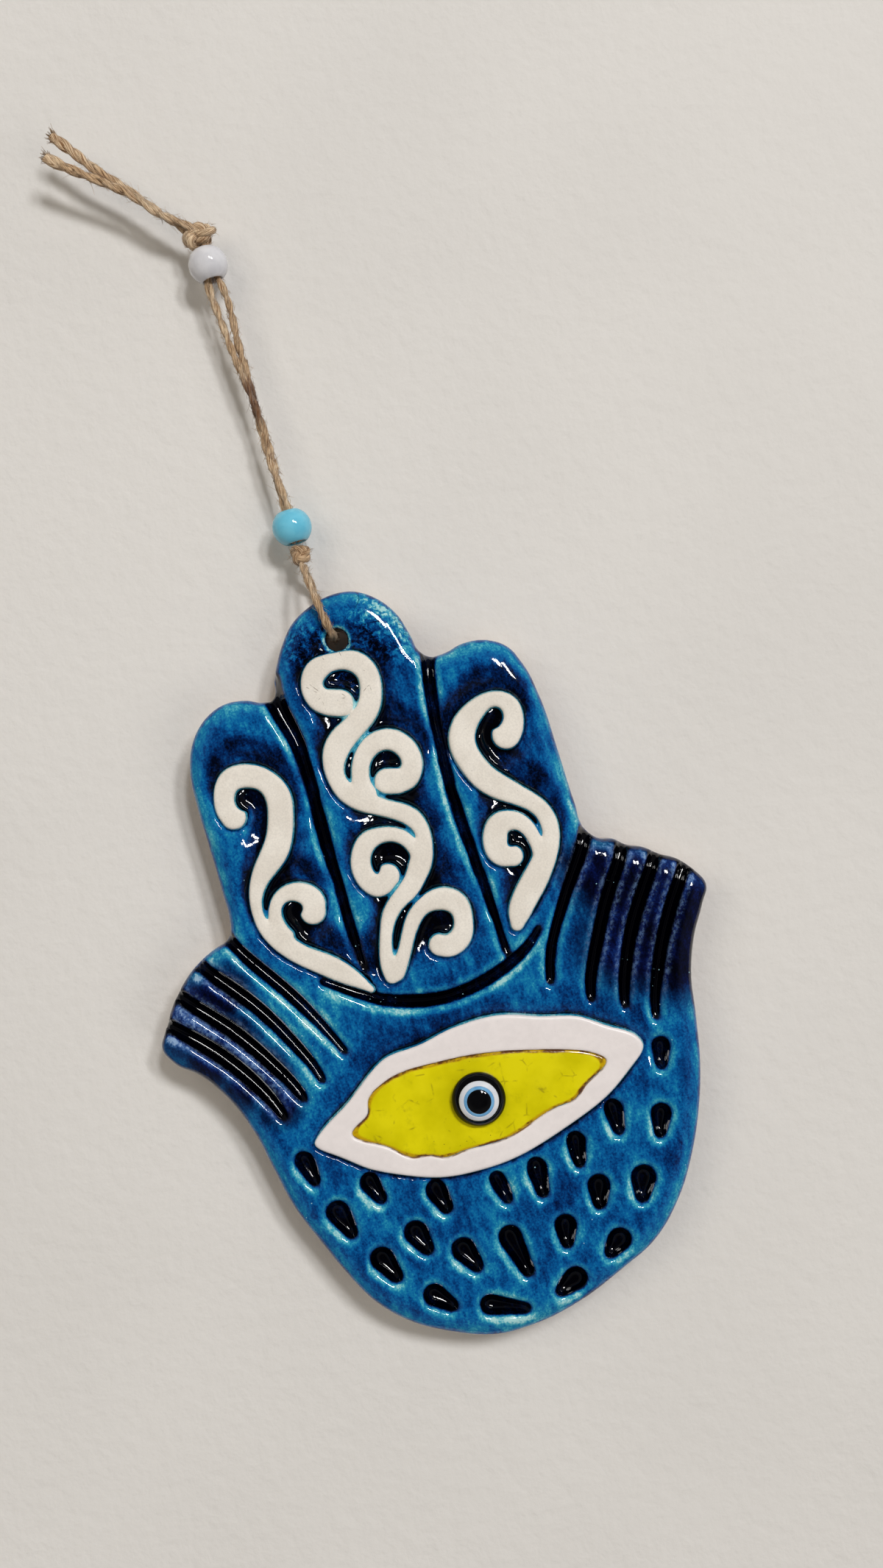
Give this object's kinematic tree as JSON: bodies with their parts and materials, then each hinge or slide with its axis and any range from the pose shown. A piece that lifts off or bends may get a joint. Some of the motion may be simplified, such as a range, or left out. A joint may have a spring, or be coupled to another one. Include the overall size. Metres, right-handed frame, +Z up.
{
  "type": "hamsa hand ornament",
  "caption": "Glazed clay open hand with scrolls and an eye, hung on a doubled jute twine with two round beads.",
  "frame": {"origin": "where the cord hangs on its hook: between the two strands, just under the white bead", "axes": "+X to the viewer's right, +Y into the wall, +Z up; the hand's front faces -Y"},
  "size_m": [0.0852, 0.0123, 0.1923],
  "materials": {
    "blue_glaze": "glossy",
    "bare_clay": "matte",
    "pale_clay": "satin",
    "yellow_glass": "crackled gloss",
    "black_glass": "opaque glossy",
    "white_glass": "opaque glossy",
    "light_blue_glass": "opaque glossy",
    "clear_glue": "clear",
    "jute": "two-ply twine"
  },
  "bodies": {
    "cord": {"left_twine": "jute", "right_twine": "jute", "upper_knot": "jute"},
    "white_bead": {"white_bead": "white_glass"},
    "blue_bead": {"blue_bead": "light_blue_glass"},
    "lower_knot": {"lower_knot": "jute"},
    "hole_loop": {"hole_loop": "jute"},
    "hand": {"clay_hand": "blue_glaze", "left_finger_scroll": "bare_clay", "middle_finger_scroll": "bare_clay", "right_finger_scroll": "bare_clay", "eye_white_ring": "pale_clay", "eye_yellow_pool": "yellow_glass", "cabochon_glue": "clear_glue", "cabochon_black_glass": "black_glass", "cabochon_white_ring": "white_glass", "cabochon_blue_ring": "light_blue_glass", "cabochon_pupil": "black_glass"}
  },
  "joints": [
    {"name": "white_bead_spin", "type": "hinge", "parent": "cord", "child": "white_bead", "pos_m": [0, 0, 0.00375], "axis": [0, 0, 1], "continuous": true},
    {"name": "blue_bead_slide", "type": "slide", "parent": "cord", "child": "blue_bead", "axis": [0, 0, 1], "range_m": [0, 0.019]},
    {"name": "knot_twist", "type": "hinge", "parent": "cord", "child": "lower_knot", "pos_m": [0.00046, 0, -0.0422], "axis": [0, 0, 1], "range_deg": [-90, 90]},
    {"name": "loop_tilt", "type": "hinge", "parent": "lower_knot", "child": "hole_loop", "pos_m": [0.00046, 0, -0.0422], "axis": [-1, 0, 0], "range_deg": [0, 80]},
    {"name": "hand_swing", "type": "hinge", "parent": "hole_loop", "child": "hand", "pos_m": [0.00206, -0.0006, -0.05642], "axis": [0, 1, 0], "range_deg": [-40, 40]}
  ]
}
